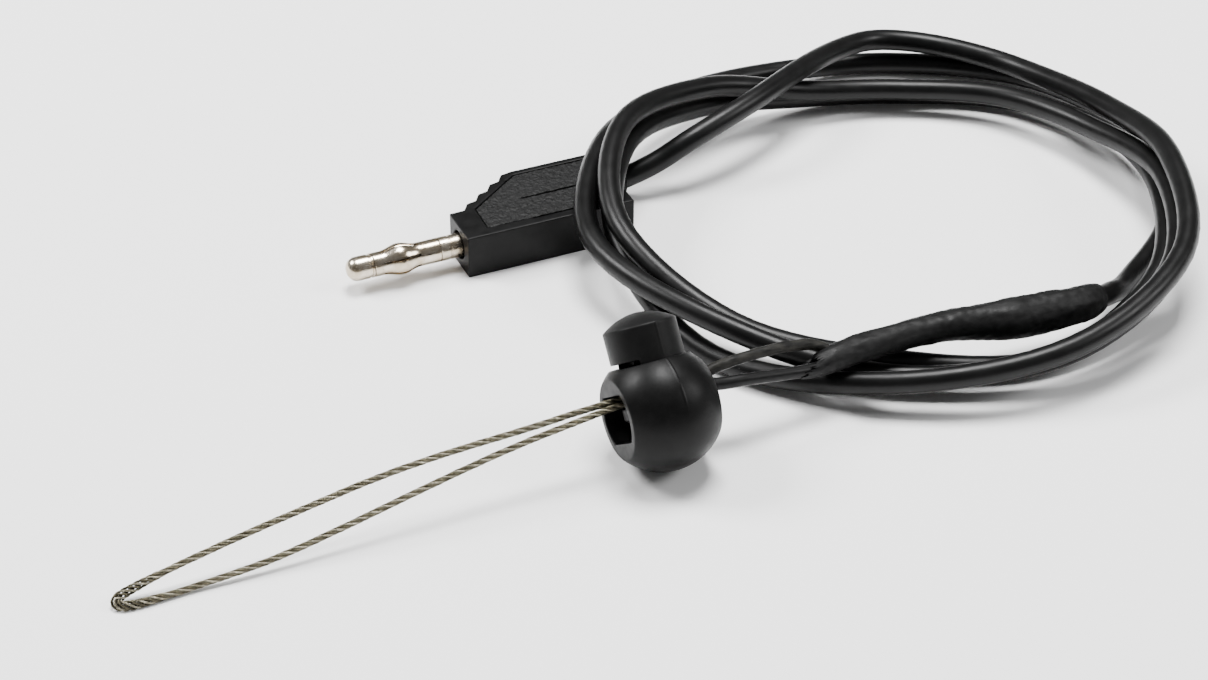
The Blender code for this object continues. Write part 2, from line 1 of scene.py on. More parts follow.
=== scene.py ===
import math

import bmesh
import bpy
import numpy as np
from mathutils import Matrix, Vector, noise


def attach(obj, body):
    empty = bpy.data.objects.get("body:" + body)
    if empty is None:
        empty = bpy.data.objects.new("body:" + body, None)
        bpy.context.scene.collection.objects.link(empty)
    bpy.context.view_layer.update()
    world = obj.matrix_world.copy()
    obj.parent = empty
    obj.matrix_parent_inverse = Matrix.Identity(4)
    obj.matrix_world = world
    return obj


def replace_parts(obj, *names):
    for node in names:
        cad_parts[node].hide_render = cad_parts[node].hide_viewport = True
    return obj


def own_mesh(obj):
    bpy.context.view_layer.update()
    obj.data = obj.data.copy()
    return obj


MM = 0.001

# Camera, in the row frame. It looks along the photograph's line of sight.
CAMERA_PLACE = Vector((-174.2, -364.2, 304.6)) * MM
CAMERA_TARGET = Vector((9.6, 30.0, 0.0)) * MM
CAMERA_LENS = 100.0
LAMP_TARGET = Vector((0.03, 0.03, 0))
WORLD_STRENGTH = 0.2

# Wire rope.
ROPE_R = 0.525 * MM
ROPE_LAY = 6.0 * MM
STRANDS = 6
WIRES = 6
STRAND_R = 0.18 * MM
WIRE_R = 0.056 * MM
STRAND_LAY = 2.2 * MM
TIP_OPENING = 0.9
TIP_REACH = 8.0 * MM

# Cord lock, in its own leaned frame: X through the window, Z up the button.
LOCK_CENTRE = Vector((4.0, -2.0, 9.5)) * MM
LOCK_LEAN = math.atan2(3, 4)
BALL_R = 9.5 * MM
BALL_FACET = 7.2 * MM
BALL_TOP = 7.25 * MM
WINDOW_R = 5.0 * MM
WINDOW_HALF_HEIGHT = 3.6 * MM
BORE_R = 5.8 * MM
BORE_FLOOR = -4.9 * MM
POCKET_R = 3.5 * MM
POCKET_FLOOR = -7.7 * MM
BUTTON_R = 5.65 * MM
BUTTON_FOOT = -0.9 * MM
BUTTON_SHOULDER = 12.9 * MM
BUTTON_DOME = 1.9 * MM
BUTTON_SLOT = (1.2 * MM, 7.7 * MM)
BUTTON_SLOT_WIDTH = 4.6 * MM
BUTTON_RELIEF_X = -1.5 * MM
BUTTON_RELIEF_HALF_WIDTH = 4.7 * MM
BUTTON_RELIEF_TOP = 7.95 * MM
BUTTON_FLAT = 5.15 * MM
PARTING_X = 0.5 * MM
SPRING_R = 2.6 * MM
SPRING_WIRE_R = 0.27 * MM
SPRING_TURNS = 4.5
SPRING_CLEARANCE = 0.3 * MM
SPRING_STEPS_PER_TURN = 40
CLOSED_TURN_RISE = 2.3 * SPRING_WIRE_R

# Test lead.
CABLE_R = 1.85 * MM
COIL_CENTRE = Vector((69.0, 43.0, 0.0)) * MM
COIL_START = math.radians(-30)
COIL_STEP = math.radians(30)

# Plug, in its own frame: X towards the cable, Z up.
PLUG_CORNER = Vector((-2.8, 55.2, 0.0)) * MM
PLUG_TURN = math.radians(-1.5)
PLUG_LENGTH = 29.3 * MM
PLUG_HEIGHT = 7.5 * MM
PLUG_WIDTH = 16.4 * MM
PLUG_NOSE_WIDTH = 8.4 * MM
PIN_Y = 4.4 * MM
PIN_Z = 3.8 * MM
PIN_R = 2.0 * MM
PIN_REACH = 19.4 * MM
CABLE_Y = 12.3 * MM
CABLE_Z = 3.8 * MM
PANEL_FLOOR = 6.5 * MM

# The routes below are the ones the solids follow, in millimetres. The legs and the splice began as
# points read off the photograph by eye and turned into millimetres by another program. Most points
# of the legs in front of the lock are still those, rounded, and the others were moved one by one.
UPPER_LEG = [
    (55.0, 0.3, 8.9), (48.7, 0.6, 9.0), (39.2, 0.3, 9.2), (36.5, 0.1, 9.2), (34.6, 0.35, 9.3),
    (33.0, 1.2, 9.95), (31.2, 1.8, 10.7), (29.0, 1.7, 11.3), (25.1, 1.3, 12.1),
    (19.6, 0.8, 12.5), (15.0, 0.4, 12.5), (13.0, 0.25, 12.2), (11.2, 0.1, 11.65),
    (4.0, 0.1, 11.45), (-3.2, 0.1, 11.45), (-9.0, 0.15, 11.25), (-16.3, 0.3, 10.7),
    (-29.7, 0.95, 9.7), (-40.5, 1.15, 8.55), (-51.2, 1.0, 6.9), (-62.0, 0.75, 5.15),
    (-72.7, 0.35, 3.2), (-78.1, 0.25, 1.8), (-80.4, 0.0, 1.1),
]
TIP = [(-81.2, -0.7, 0.8), (-80.7, -1.5, 0.65)]
LOWER_LEG = [
    (55.0, 0.3, 7.5), (48.7, 0.6, 7.8), (39.2, 0.3, 8.0), (36.5, 0.0, 7.9), (34.6, -0.3, 7.9),
    (31.5, -0.9, 8.1), (28.0, -1.2, 8.5), (23.9, -1.3, 9.15), (18.5, -1.4, 10.05),
    (15.0, -1.25, 10.35), (13.0, -1.1, 10.65), (11.2, -0.95, 11.0), (4.0, -0.95, 11.25),
    (-3.2, -0.95, 11.15), (-9.0, -0.95, 10.45), (-16.7, -0.9, 9.4), (-25.0, -1.0, 8.0),
    (-36.2, -1.35, 5.85), (-47.2, -1.8, 3.7), (-58.0, -2.1, 1.85), (-68.5, -1.95, 0.85),
    (-76.2, -2.05, 0.65), (-79.2, -1.9, 0.6),
]
SPLICE_ROUTE = [
    (34.5, -0.2, 8.6), (36.8, 0.1, 8.6), (39.2, 0.3, 8.6), (48.7, 0.6, 8.4), (55.0, 0.3, 8.2),
    (59.5, -0.4, 7.95), (64.0, -1.4, 7.8), (68.0, -1.8, 7.5), (72.0, -2.0, 7.4),
    (75.1, -2.0, 7.22),
]
SPLICE_RADII = [2.15, 2.2, 2.25, 2.3, 2.5, 2.75, 3.15, 3.2, 3.15, 2.95]
COLLAR_ROUTE = [(75.4, -2.0, 7.2), (77.0, -1.8, 7.05), (79.2, -1.1, 6.65), (81.2, -0.2, 6.05)]
COLLAR_RADII = [2.75, 2.9, 2.7, 2.3]
# The sleeve's mouth reaches further along the lower leg than its solid does.
SPLICE_LIP = [(27.6, -1.2, 8.55), (30.0, -0.95, 8.35), (32.4, -0.5, 8.4)]
LIP_RADII = [1.2, 1.55, 1.95]
LEAD_IN = [
    (77.7, -1.6, 6.95), (79.2, -1.1, 6.65), (81.2, -0.2, 6.05), (85.5, 2.2, 4.3), (92.4, 7.0, 2.1),
]
# Radius and height of the coil for every 30 degrees. Another program fitted them to edges in the
# photograph. They were rounded to 0.5 mm, and 14 of the 39 rows were changed since.
COIL_STATIONS = [
    (45.5, 2.0), (48.5, 2.5), (48.5, 2.5), (46.5, 2.0), (44.5, 3.5), (45.0, 7.0),
    (49.0, 10.5), (55.0, 9.5), (52.9, 7.6), (51.4, 3.4), (53.3, 5.1), (50.6, 7.9),
    (44.0, 10.0), (38.0, 7.0), (35.5, 5.5), (33.0, 4.5), (33.0, 6.0), (38.0, 11.5),
    (45.5, 15.0), (50.5, 11.5), (49.0, 5.5), (47.5, 3.5), (49.7, 2.0), (48.0, 4.8),
    (44.0, 6.0), (43.0, 4.0), (40.0, 2.5), (36.0, 2.0), (36.0, 3.0), (39.5, 7.0),
    (45.0, 11.0), (50.5, 7.5), (54.6, 2.4), (56.0, 5.2), (56.2, 8.5), (52.5, 12.0),
    (44.5, 14.0), (41.0, 10.5), (44.0, 6.6),
]
# The first four points were placed one by one, and the last five start from the same fit.
LEAD_OUT = [
    (101.3, 75.3, 6.3), (94.5, 81.7, 6.6), (87.2, 84.2, 7.4), (79.4, 82.0, 8.7), (69.0, 76.4, 10.4),
    (55.0, 69.0, 10.9), (43.5, 66.0, 9.0), (36.5, 66.1, 5.9), (31.5, 66.5, 4.2),
]


# Curves and meshes.

def smooth_at(points, places):
    """Points of the smooth curve through the given points, at places counted in points."""
    knots = [Vector(p) for p in points]
    knots = [2 * knots[0] - knots[1]] + knots + [2 * knots[-1] - knots[-2]]
    line = []
    for place in places:
        first = min(int(place + 1e-6), len(points) - 2)
        t = place - first
        a, b, c, d = knots[first:first + 4]
        bend = (2 * b) + (c - a) * t + (2 * a - 5 * b + 4 * c - d) * t * t
        line.append((bend + (3 * b - a - 3 * c + d) * t ** 3) / 2)
    return line


def smooth_line(points, steps):
    """The smooth curve through the given points, with the same number of steps in each span."""
    count = (len(points) - 1) * steps
    return smooth_at(points, [k / steps for k in range(count + 1)])


def in_metres(points):
    return [Vector(p) * MM for p in points]


def even_line(line, step):
    """The same line with its points a fixed distance apart."""
    spots = np.array([tuple(p) for p in line])
    runs = np.concatenate([[0.0], np.cumsum(np.linalg.norm(np.diff(spots, axis=0), axis=1))])
    count = max(int(runs[-1] / step), 2)
    wanted = np.linspace(0.0, runs[-1], count + 1)
    return np.column_stack([np.interp(wanted, runs, spots[:, k]) for k in range(3)])


def frames_along(line):
    """Two unit vectors square to a line at each of its points, carried along without twist."""
    line = np.asarray(line)
    ahead = np.gradient(line, axis=0)
    ahead /= np.linalg.norm(ahead, axis=1)[:, None]
    side = np.cross(ahead[0], (0.0, 0.0, 1.0))
    sides = []
    for direction in ahead:
        side = side - direction * side.dot(direction)
        side = side / np.linalg.norm(side)
        sides.append(side)
    sides = np.array(sides)
    return sides, np.cross(ahead, sides)


def link(name, mesh, body, finish, smooth_angle=40):
    """Make a mesh into a piece that rides on a body and has a finish."""
    mesh.shade_smooth()
    mesh.set_sharp_from_angle(angle=math.radians(smooth_angle))
    thing = bpy.data.objects.new(name, mesh)
    thing.data.materials.append(finish)
    bpy.context.collection.objects.link(thing)
    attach(thing, body)
    return thing


def mesh_from_rings(name, rings, closed=False, capped=True):
    """A mesh over rings of points, an array of (rings, points in a ring, 3)."""
    rings = np.asarray(rings)
    count, around = rings.shape[:2]
    verts = [tuple(p) for p in rings.reshape(-1, 3)]
    faces = []
    for k in range(count if closed else count - 1):
        low = k * around
        high = ((k + 1) % count) * around
        for n in range(around):
            after = (n + 1) % around
            faces.append((low + n, low + after, high + after, high + n))
    if capped and not closed:
        faces.append(tuple(range(around))[::-1])
        faces.append(tuple((count - 1) * around + n for n in range(around)))
    mesh = bpy.data.meshes.new(name)
    mesh.from_pydata(verts, [], faces)
    return mesh


def tube_rings(line, radii, around):
    """Rings round a line. radii is one radius, one per ring, or one per ring and angle."""
    sides, ups = frames_along(line)
    turns = np.linspace(0.0, 2 * math.pi, around, endpoint=False)
    radii = np.asarray(radii, dtype=float)
    if radii.ndim == 0:
        radii = np.full(len(line), float(radii))
    if radii.ndim == 1:
        radii = np.repeat(radii[:, None], around, axis=1)
    across = sides[:, None, :] * np.cos(turns)[None, :, None]
    across = across + ups[:, None, :] * np.sin(turns)[None, :, None]
    return np.asarray(line)[:, None, :] + across * radii[:, :, None]


def turned(name, profile, sides=96):
    """A mesh turned about X from (x, radius) points that start and end on the axis, or close."""
    bm = bmesh.new()
    rings = []
    for x, radius in profile:
        if radius < 1e-9:
            rings.append([bm.verts.new((x, 0, 0))])
            continue
        turns = [2 * math.pi * k / sides for k in range(sides)]
        rings.append([bm.verts.new((x, radius * math.cos(a), radius * math.sin(a))) for a in turns])
    pairs = list(zip(rings, rings[1:]))
    if len(rings[0]) > 1:
        pairs.append((rings[-1], rings[0]))
    for first, second in pairs:
        for k in range(sides):
            after = (k + 1) % sides
            corners = [first[k % len(first)], first[after % len(first)]]
            corners += [second[after % len(second)], second[k % len(second)]]
            bm.faces.new(list(dict.fromkeys(corners)))
    bmesh.ops.recalc_face_normals(bm, faces=bm.faces)
    mesh = bpy.data.meshes.new(name)
    bm.to_mesh(mesh)
    bm.free()
    return mesh


def box_mesh(name, low, high):
    bm = bmesh.new()
    bmesh.ops.create_cube(bm, size=1.0)
    for vert in bm.verts:
        vert.co = Vector(high[k] if vert.co[k] > 0 else low[k] for k in range(3))
    mesh = bpy.data.meshes.new(name)
    bm.to_mesh(mesh)
    bm.free()
    return mesh


def extruded(name, outline, low, high):
    """A closed outline in XY, drawn up from one height to another."""
    bm = bmesh.new()
    foot = [bm.verts.new((x, y, low)) for x, y in outline]
    risen = bmesh.ops.extrude_face_region(bm, geom=[bm.faces.new(foot)])["geom"]
    top = [part for part in risen if isinstance(part, bmesh.types.BMVert)]
    bmesh.ops.translate(bm, verts=top, vec=(0, 0, high - low))
    bmesh.ops.recalc_face_normals(bm, faces=bm.faces)
    mesh = bpy.data.meshes.new(name)
    bm.to_mesh(mesh)
    bm.free()
    return mesh


def carved(name, mesh, cutters, voxel=None, rounds=0, bevel=None):
    """Take cutter meshes out of a mesh, soften its edges, and return the finished mesh."""
    scratch = bpy.data.objects.new(name + "_scratch", mesh)
    bpy.context.collection.objects.link(scratch)
    spare = []
    for cutter in cutters:
        tool = bpy.data.objects.new(cutter.name, cutter)
        bpy.context.collection.objects.link(tool)
        step = scratch.modifiers.new("cut", "BOOLEAN")
        step.operation = "DIFFERENCE"
        step.solver = "EXACT"
        step.object = tool
        spare.append(tool)
    if bevel:
        step = scratch.modifiers.new("edge", "BEVEL")
        step.width = bevel
        step.segments = 3
        step.limit_method = "ANGLE"
        step.angle_limit = math.radians(35)
    if voxel:
        step = scratch.modifiers.new("even", "REMESH")
        step.mode = "VOXEL"
        step.voxel_size = voxel
        step = scratch.modifiers.new("soft", "SMOOTH")
        step.factor = 0.5
        step.iterations = rounds
    bpy.context.view_layer.update()
    graph = bpy.context.evaluated_depsgraph_get()
    made = bpy.data.meshes.new_from_object(scratch.evaluated_get(graph))
    made.name = name
    for thing in [scratch] + spare:
        bpy.data.objects.remove(thing, do_unlink=True)
    return made


def moved(mesh, matrix):
    mesh.transform(matrix)
    return mesh


UP_FROM_X = Matrix.Rotation(-math.pi / 2, 4, "Y")
LOCK_MATRIX = Matrix.Translation(LOCK_CENTRE) @ Matrix.Rotation(-LOCK_LEAN, 4, "X")
PLUG_MATRIX = Matrix.Translation(PLUG_CORNER) @ Matrix.Rotation(PLUG_TURN, 4, "Z")
PIN_MATRIX = PLUG_MATRIX @ Matrix.Translation((0, PIN_Y, PIN_Z))


# Finishes. Every one has its own grain, colour change and roughness change.

class Finish:
    """A Principled material that grows node by node."""

    def __init__(self, name, colour, roughness, metallic=0.0, shine=0.5):
        self.material = bpy.data.materials.new(name)
        self.material.use_nodes = True
        self.nodes = self.material.node_tree.nodes
        self.links = self.material.node_tree.links
        self.shader = self.nodes["Principled BSDF"]
        self.shader.inputs["Base Color"].default_value = (*colour, 1.0)
        self.shader.inputs["Roughness"].default_value = roughness
        self.shader.inputs["Metallic"].default_value = metallic
        self.shader.inputs["Specular IOR Level"].default_value = shine
        self.place = self.nodes.new("ShaderNodeTexCoord").outputs["Object"]
        self.bump = None

    def noise(self, size, detail=4.0, stretch=(1, 1, 1)):
        """A noise value whose features are about this size, in metres."""
        mapping = self.nodes.new("ShaderNodeMapping")
        mapping.inputs["Scale"].default_value = stretch
        self.links.new(self.place, mapping.inputs["Vector"])
        texture = self.nodes.new("ShaderNodeTexNoise")
        texture.inputs["Scale"].default_value = 1.0 / size
        texture.inputs["Detail"].default_value = detail
        texture.inputs["Roughness"].default_value = 0.6
        self.links.new(mapping.outputs["Vector"], texture.inputs["Vector"])
        return texture.outputs["Fac"]

    def cells(self, size, feature="F1"):
        """A cell distance value whose cells are about this size, in metres."""
        texture = self.nodes.new("ShaderNodeTexVoronoi")
        texture.feature = feature
        texture.inputs["Scale"].default_value = 1.0 / size
        self.links.new(self.place, texture.inputs["Vector"])
        return texture.outputs["Distance"]

    def spread(self, value, low, high, out_low, out_high):
        """Map a value's range onto another, clamped."""
        node = self.nodes.new("ShaderNodeMapRange")
        node.inputs["From Min"].default_value = low
        node.inputs["From Max"].default_value = high
        node.inputs["To Min"].default_value = out_low
        node.inputs["To Max"].default_value = out_high
        self.links.new(value, node.inputs["Value"])
        return node.outputs["Result"]

    def rough(self, value, low, high):
        self.links.new(self.spread(value, 0.3, 0.7, low, high), self.shader.inputs["Roughness"])
        return self

    def tint(self, value, first, second, low=0.35, high=0.65):
        """Blend between two colours by a value."""
        node = self.nodes.new("ShaderNodeMix")
        node.data_type = "RGBA"
        node.inputs["A"].default_value = (*first, 1.0)
        node.inputs["B"].default_value = (*second, 1.0)
        self.links.new(self.spread(value, low, high, 0.0, 1.0), node.inputs["Factor"])
        self.links.new(node.outputs["Result"], self.shader.inputs["Base Color"])
        return self

    def speck(self, size, width, colour, strength=1.0):
        """Sparse dust specks over the colour that is already there."""
        near = self.spread(self.cells(size), 0.0, width, strength, 0.0)
        node = self.nodes.new("ShaderNodeMix")
        node.data_type = "RGBA"
        base = self.shader.inputs["Base Color"]
        if base.is_linked:
            self.links.new(base.links[0].from_socket, node.inputs["A"])
        else:
            node.inputs["A"].default_value = base.default_value
        node.inputs["B"].default_value = (*colour, 1.0)
        self.links.new(near, node.inputs["Factor"])
        self.links.new(node.outputs["Result"], base)
        return self

    def relief(self, value, height):
        """Add a bump of this height, in metres."""
        node = self.nodes.new("ShaderNodeBump")
        node.inputs["Distance"].default_value = height
        node.inputs["Strength"].default_value = 1.0
        self.links.new(value, node.inputs["Height"])
        if self.bump:
            self.links.new(self.bump, node.inputs["Normal"])
        self.bump = node.outputs["Normal"]
        self.links.new(self.bump, self.shader.inputs["Normal"])
        return self


def cable_jacket():
    f = Finish("jacket_pvc", (0.002, 0.002, 0.002), 0.34, shine=0.2)
    f.tint(f.noise(9 * MM, 3), (0.0015, 0.0015, 0.0015), (0.003, 0.003, 0.003))
    f.speck(5.5 * MM, 0.028, (0.3, 0.3, 0.31), 0.5)
    f.rough(f.noise(3 * MM, 5), 0.32, 0.42)
    f.relief(f.noise(0.25 * MM, 3), 0.002 * MM)
    f.relief(f.noise(4 * MM, 2), 0.012 * MM)
    return f.material


def lock_plastic(name, rough_low, rough_high, colour):
    f = Finish(name, colour, 0.4, shine=0.12)
    lighter = tuple(1.7 * c for c in colour)
    f.tint(f.noise(4 * MM, 4), colour, lighter)
    f.speck(4 * MM, 0.02, (0.3, 0.3, 0.31), 0.4)
    f.rough(f.noise(2.2 * MM, 5), rough_low, rough_high)
    f.relief(f.noise(0.16 * MM, 3), 0.006 * MM)
    return f.material


def heat_shrink(name, lighter, wrinkle, rough_low=0.42, rough_high=0.62):
    f = Finish(name, (0.004, 0.004, 0.004), 0.5, shine=0.16)
    f.tint(f.noise(0.9 * MM, 6, (0.35, 1, 1)), (0.002, 0.002, 0.002), lighter)
    f.speck(3.5 * MM, 0.025, (0.28, 0.28, 0.28), 0.5)
    f.rough(f.noise(1.4 * MM, 5), rough_low, rough_high)
    f.relief(f.noise(0.7 * MM, 5, (0.4, 1, 1)), wrinkle)
    f.relief(f.noise(0.12 * MM, 2), 0.008 * MM)
    return f.material


def plug_plastic():
    f = Finish("plug_body_plastic", (0.002, 0.002, 0.002), 0.42, shine=0.12)
    f.tint(f.noise(5 * MM, 4), (0.0015, 0.0015, 0.0015), (0.004, 0.004, 0.004))
    f.speck(4 * MM, 0.022, (0.3, 0.3, 0.31), 0.4)
    f.rough(f.noise(1.8 * MM, 5), 0.36, 0.5)
    f.relief(f.noise(0.2 * MM, 4), 0.01 * MM)
    return f.material


def grained_plastic():
    f = Finish("plug_grain_plastic", (0.003, 0.003, 0.003), 0.55, shine=0.16)
    f.tint(f.cells(0.6 * MM), (0.0015, 0.0015, 0.0015), (0.008, 0.008, 0.008), 0.1, 0.6)
    f.rough(f.noise(0.5 * MM, 4), 0.42, 0.66)
    f.relief(f.noise(0.55 * MM, 5), 0.16 * MM)
    f.relief(f.cells(0.45 * MM), 0.06 * MM)
    return f.material


def plated_nickel(name="nickel_plating", low=0.16, high=0.3):
    f = Finish(name, (0.6, 0.53, 0.42), 0.2, 1.0)
    f.tint(f.noise(2.4 * MM, 4), (0.46, 0.38, 0.27), (0.68, 0.61, 0.51))
    f.rough(f.noise(0.8 * MM, 5, (1, 4, 4)), low, high)
    f.relief(f.noise(0.3 * MM, 4, (6, 1, 1)), 0.004 * MM)
    return f.material


def rope_wire(name, dark, bright):
    f = Finish(name, bright, 0.34, 1.0)
    f.tint(f.noise(0.9 * MM, 5), dark, bright)
    f.rough(f.noise(0.6 * MM, 4), 0.26, 0.5)
    f.relief(f.noise(0.08 * MM, 3), 0.006 * MM)
    return f.material


def plain_metal(name, dark, bright, low, high):
    f = Finish(name, bright, low, 1.0)
    f.tint(f.noise(1.2 * MM, 5), dark, bright)
    f.rough(f.noise(0.5 * MM, 4, (5, 1, 1)), low, high)
    f.relief(f.noise(0.12 * MM, 4, (6, 1, 1)), 0.005 * MM)
    return f.material


def resistor_coat():
    f = Finish("resistor_lacquer", (0.5, 0.6, 0.66), 0.3)
    f.tint(f.noise(1.5 * MM, 3), (0.42, 0.52, 0.6), (0.58, 0.66, 0.7))
    f.rough(f.noise(0.6 * MM, 4), 0.22, 0.4)
    f.relief(f.noise(0.3 * MM, 3), 0.02 * MM)
    return f.material


def band_paint(name, colour):
    f = Finish(name, colour, 0.35)
    darker = tuple(0.7 * c for c in colour)
    f.tint(f.noise(0.5 * MM, 3), darker, colour)
    f.rough(f.noise(0.4 * MM, 3), 0.3, 0.45)
    return f.material


# Test lead.

def plug_point(x, y, z):
    return PLUG_MATRIX @ Vector((x, y, z))


def coil_points():
    """The coil's points, one for each 30 degrees about its centre."""
    points = []
    for k, (radius, height) in enumerate(COIL_STATIONS):
        turn = COIL_START + k * COIL_STEP
        spot = Vector((math.cos(turn), math.sin(turn), 0.0)) * radius
        spot.z = height
        points.append(COIL_CENTRE + spot * MM)
    return points


def make_cable(finish):
    mouth = [plug_point(x, CABLE_Y, CABLE_Z) for x in (PLUG_LENGTH + 1.5 * MM, 22.0 * MM)]
    route = in_metres(LEAD_IN) + coil_points() + in_metres(LEAD_OUT) + mouth
    data = bpy.data.curves.new("lead_jacket", "CURVE")
    data.dimensions = "3D"
    data.bevel_depth = CABLE_R
    data.bevel_resolution = 7
    data.use_fill_caps = True
    line = smooth_line(route, 8)
    spline = data.splines.new("POLY")
    spline.points.add(len(line) - 1)
    for point, place in zip(spline.points, line):
        point.co = (*place, 1.0)
        point.radius = 1.0
    data.materials.append(finish)
    cable = bpy.data.objects.new("lead_jacket", data)
    bpy.context.collection.objects.link(cable)
    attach(cable, "lead")
    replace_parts(cable, "cable")
    return cable, line


# Lasso.

def rope_line():
    route = UPPER_LEG + TIP + LOWER_LEG[::-1]
    return even_line(smooth_line(in_metres(route), 8), 0.28 * MM)


def make_rope(finishes, core_finish):
    """The rope as strands of single wires, each a thin tube on a helix about a helix."""
    line = rope_line()
    sides, ups = frames_along(line)
    run = np.arange(len(line)) * np.linalg.norm(line[1] - line[0])
    for strand in range(STRANDS):
        turn = 2 * math.pi * (run / ROPE_LAY + strand / STRANDS)
        wander = 1.0 + 0.05 * np.sin(run / (9 * MM) + 1.7 * strand)
        wander += TIP_OPENING * np.clip(1 - np.abs(run - run[-1] / 2) / TIP_REACH, 0, 1) ** 0.7
        radius = (ROPE_R - STRAND_R) * wander
        middle = line + sides * (np.cos(turn) * radius)[:, None] + ups * (np.sin(turn) * radius)[:, None]
        rings = []
        strand_sides, strand_ups = frames_along(middle)
        for wire in range(WIRES):
            spin = 2 * math.pi * (wire / WIRES - run / STRAND_LAY)
            reach = STRAND_R - WIRE_R
            path = middle + strand_sides * (np.cos(spin) * reach)[:, None]
            path = path + strand_ups * (np.sin(spin) * reach)[:, None]
            rings.append(tube_rings(path, WIRE_R, 5))
        mesh = joined("rope_strand_" + str(strand + 1), rings)
        finish = finishes[strand % len(finishes)]
        piece = link("rope_strand_" + str(strand + 1), mesh, "lead", finish, 80)
        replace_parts(piece, "wire_rope_loop")
    core = mesh_from_rings("rope_core", tube_rings(line[::3], STRAND_R * 1.05, 8))
    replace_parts(link("rope_core", core, "lead", core_finish, 80), "wire_rope_loop")


def joined(name, ring_sets):
    """One mesh from several tubes, each an array of rings."""
    verts = []
    faces = []
    for rings in ring_sets:
        count, around = rings.shape[:2]
        start = len(verts)
        verts.extend(map(tuple, rings.reshape(-1, 3)))
        for k in range(count - 1):
            for n in range(around):
                after = (n + 1) % around
                low = start + k * around
                faces.append((low + n, low + after, low + around + after, low + around + n))
        faces.append(tuple(start + n for n in range(around))[::-1])
        faces.append(tuple(start + (count - 1) * around + n for n in range(around)))
    mesh = bpy.data.meshes.new(name)
    mesh.from_pydata(verts, [], faces)
    return mesh


def between(line, start, end):
    return [p for p in line if start <= p.x <= end]


def crumple(line, around, seed, coarse, fine):
    """Radius changes for heat-shrink: long lumps and short wrinkles, in metres."""
    change = np.zeros((len(line), around))
    for k, spot in enumerate(line):
        for n in range(around):
            turn = 2 * math.pi * n / around
            ring = Vector((spot[0] * 120 + seed, 1.4 * math.cos(turn), 1.4 * math.sin(turn)))
            change[k, n] = coarse * noise.noise(ring)
            short = Vector((spot[0] * 900 + seed, 2.2 * math.cos(turn), 2.2 * math.sin(turn)))
            change[k, n] += fine * noise.noise(short)
    return change


def make_leg_sleeves(frosty, smooth):
    for name, leg, finish, size, coarse, fine in (
        ("leg_sleeve_upper", UPPER_LEG, frosty, 0.86 * MM, 0.05 * MM, 0.07 * MM),
        ("leg_sleeve_lower", LOWER_LEG, smooth, 0.98 * MM, 0.03 * MM, 0.02 * MM),
    ):
        line = even_line(between(smooth_line(in_metres(leg), 12), 12.4 * MM, 33.6 * MM), 0.2 * MM)
        radii = size + crumple(line, 28, 3.0, coarse, fine)
        outer = tube_rings(line, radii, 28)
        inner = tube_rings(line, np.full(len(line), 0.66 * MM), 28)
        mesh = mesh_from_rings(name, np.concatenate([outer, inner[::-1]]), closed=True)
        piece = link(name + "_skin", mesh, "lead", finish, 80)
        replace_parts(piece, name)


# Splice.

def make_splice(finish, collar_finish):
    """The long sleeve with its slanted mouth and the collar tucked against its other end."""
    for name, route, radii, material in (
        (
            "splice_sleeve", SPLICE_LIP + SPLICE_ROUTE + COLLAR_ROUTE[1:2],
            LIP_RADII + SPLICE_RADII + [2.93], finish,
        ),
        ("splice_end_collar", COLLAR_ROUTE, COLLAR_RADII, collar_finish),
    ):
        steps = 24
        around = 56
        line = np.array([tuple(p) for p in smooth_line(in_metres(route), steps)])
        sizes = np.array([v.x for v in smooth_line([(r * MM, 0, 0) for r in radii], steps)])
        lumps = crumple(line, around, 11.0, 0.30 * MM, 0.10 * MM)
        outer = tube_rings(line, sizes[:, None] + lumps, around)
        bore = sizes - 0.4 * MM if name == "splice_sleeve" else np.full(len(sizes), CABLE_R + 0.1 * MM)
        inner = tube_rings(line, bore, around)
        if name == "splice_sleeve":
            outer = slant_mouth(outer, steps * len(SPLICE_LIP))
            inner = slant_mouth(inner, steps * len(SPLICE_LIP))
        mesh = mesh_from_rings(name, np.concatenate([outer, inner[::-1]]), closed=True)
        piece = link(name + "_skin", mesh, "lead", material, 50)
        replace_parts(piece, name)


def slant_mouth(rings, reach):
    """Pull the mouth back on its high far side, with a ragged edge."""
    count, around = rings.shape[:2]
    centre = rings[0].mean(axis=0)
    across = rings[0] - centre
    height = across[:, 2] + 0.7 * across[:, 1]
    height = (height - height.min()) / (height.max() - height.min())
    slanted = rings.copy()
    places = np.arange(count)
    for n in range(around):
        ragged = 0.06 * math.sin(3.1 * n) + 0.05 * math.sin(7.3 * n)
        start = reach * min(max(0.55 * height[n] + ragged, 0.0), 1.0)
        wanted = np.where(places < 2 * reach, start + (2 * reach - start) * places / (2 * reach), places)
        for axis in range(3):
            slanted[:, n, axis] = np.interp(wanted, places, rings[:, n, axis])
    return slanted


# Cord lock.

